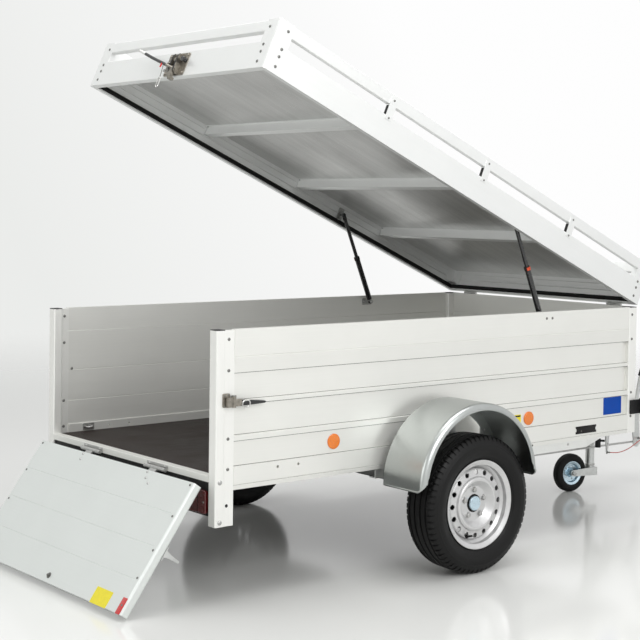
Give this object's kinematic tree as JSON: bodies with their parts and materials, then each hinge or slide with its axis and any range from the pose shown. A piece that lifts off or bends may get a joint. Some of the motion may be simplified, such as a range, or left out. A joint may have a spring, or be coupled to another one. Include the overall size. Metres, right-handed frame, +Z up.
{
  "type": "lidded box trailer",
  "caption": "Aluminium box trailer on a braked torsion axle, with a railed lid on gas struts, a drop-down tailgate, bent drawbar arms, an overrun coupling and a jockey wheel.",
  "frame": {"origin": "centre of the tow ball that the coupling head takes", "axes": "+X forward along the drawbar, +Y left, +Z up; the wheels stand on z = -0.4 m"},
  "size_m": [4.0057, 1.868, 2.2152],
  "materials": {
    "aluminium": "satin anodised",
    "plywood": "dark film-faced plywood",
    "galvanised": "hot-dip galvanised",
    "cast": "black paint",
    "silver_paint": "silver gloss paint",
    "black_paint": "black gloss paint",
    "tyre": "rubber",
    "rubber": "moulded rubber",
    "black_plastic": "moulded plastic",
    "red_plastic": "red lens",
    "cable_sheath": "red plastic sheath over a steel cable",
    "clear_plastic": "clear lens"
  },
  "bodies": {
    "chassis": {"wall_planks": "aluminium", "top_rails": "aluminium", "floor_frame": "aluminium", "corner_posts": "aluminium", "floor_board": "plywood", "cross_members": "galvanised", "drawbar_arms": "galvanised", "jockey_clamp": "galvanised", "cable_bracket": "galvanised", "brake_rod": "galvanised", "lashing_rings": "galvanised", "axle_beam": "galvanised", "trailing_arms": "galvanised", "mudguards": "galvanised", "mudguard_stays": "galvanised", "tailgate_hinge_leaves": "galvanised", "lid_hinge_leaves": "galvanised", "strut_brackets": "galvanised", "side_latches": "galvanised", "handbrake_lever": "galvanised", "overrun_device": "cast", "coupling_head": "cast", "coupling_handle": "cast", "gaiter": "rubber", "light_board": "black_plastic", "marker_holders": "black_plastic", "handbrake_grip": "black_plastic", "post_caps": "black_plastic", "plug_holder": "black_plastic", "rear_lamps": "red_plastic", "marker_lamps": "clear_plastic", "breakaway_cable": "cable_sheath"},
    "wheel_left": {"tyre_left": "tyre", "rim_left": "silver_paint", "hub_left": "cast"},
    "wheel_right": {"tyre_right": "tyre", "rim_right": "silver_paint", "hub_right": "cast"},
    "lid": {"lid_panels": "aluminium", "lid_posts": "aluminium", "lid_sheet": "aluminium", "lid_cross_bars": "aluminium", "lid_rails": "aluminium", "lid_rail_brackets": "aluminium", "lid_hinge_straps": "galvanised", "lid_latch": "galvanised", "lid_strut_brackets": "galvanised"},
    "tailgate": {"tailgate_panel": "aluminium", "tailgate_edges": "aluminium", "tailgate_hinge_straps": "galvanised", "tailgate_strikers": "galvanised"},
    "strut_barrel_left": {"strut_barrel_left": "black_paint"},
    "strut_barrel_right": {"strut_barrel_right": "black_paint"},
    "strut_rod_left": {"strut_rod_left": "black_paint"},
    "strut_rod_right": {"strut_rod_right": "black_paint"},
    "jockey_post": {"jockey_tube": "galvanised", "jockey_crank": "galvanised"},
    "jockey_fork": {"jockey_fork": "galvanised"},
    "jockey_wheel": {"jockey_tyre": "rubber", "jockey_rim": "galvanised"}
  },
  "joints": [
    {"name": "wheel_left_spin", "type": "hinge", "parent": "chassis", "child": "wheel_left", "pos_m": [-2.461, 0.825, -0.116], "axis": [0, 1, 0], "continuous": true},
    {"name": "wheel_right_spin", "type": "hinge", "parent": "chassis", "child": "wheel_right", "pos_m": [-2.461, -0.825, -0.116], "axis": [0, 1, 0], "continuous": true},
    {"name": "lid_hinge", "type": "hinge", "parent": "chassis", "child": "lid", "pos_m": [-1.162, 0, 0.637], "axis": [0, -1, 0], "range_deg": [0, 23.6]},
    {"name": "tailgate_hinge", "type": "hinge", "parent": "chassis", "child": "tailgate", "pos_m": [-3.612, 0, 0.0665], "axis": [0, 1, 0], "range_deg": [0, 144.5]},
    {"name": "strut_left_pivot", "type": "hinge", "parent": "chassis", "child": "strut_barrel_left", "pos_m": [-1.792, 0.598, 0.604], "axis": [0, -1, 0], "range_deg": [0, 50.5]},
    {"name": "strut_left_slide", "type": "slide", "parent": "strut_barrel_left", "child": "strut_rod_left", "axis": [0.383, 0, -0.9237], "range_m": [0, 0.1885]},
    {"name": "strut_right_pivot", "type": "hinge", "parent": "chassis", "child": "strut_barrel_right", "pos_m": [-1.792, -0.598, 0.604], "axis": [0, -1, 0], "range_deg": [0, 50.5]},
    {"name": "strut_right_slide", "type": "slide", "parent": "strut_barrel_right", "child": "strut_rod_right", "axis": [0.383, 0, -0.9237], "range_m": [0, 0.1885]},
    {"name": "jockey_slide", "type": "slide", "parent": "chassis", "child": "jockey_post", "axis": [0, 0, 1], "range_m": [0, 0.14]},
    {"name": "jockey_swivel", "type": "hinge", "parent": "jockey_post", "child": "jockey_fork", "pos_m": [-0.74, 0, -0.29], "axis": [0, 0, 1], "continuous": true},
    {"name": "jockey_wheel_spin", "type": "hinge", "parent": "jockey_fork", "child": "jockey_wheel", "pos_m": [-0.8774, 0.02102, -0.3], "axis": [0.1513, 0.9885, 0], "continuous": true}
  ],
  "couplings": [
    {"joint": "strut_left_pivot", "follows": "lid_hinge", "ratio": 2.1375},
    {"joint": "strut_left_slide", "follows": "lid_hinge", "m_per_rad": 0.45737},
    {"joint": "strut_right_pivot", "follows": "lid_hinge", "ratio": 2.1375},
    {"joint": "strut_right_slide", "follows": "lid_hinge", "m_per_rad": 0.45737}
  ]
}
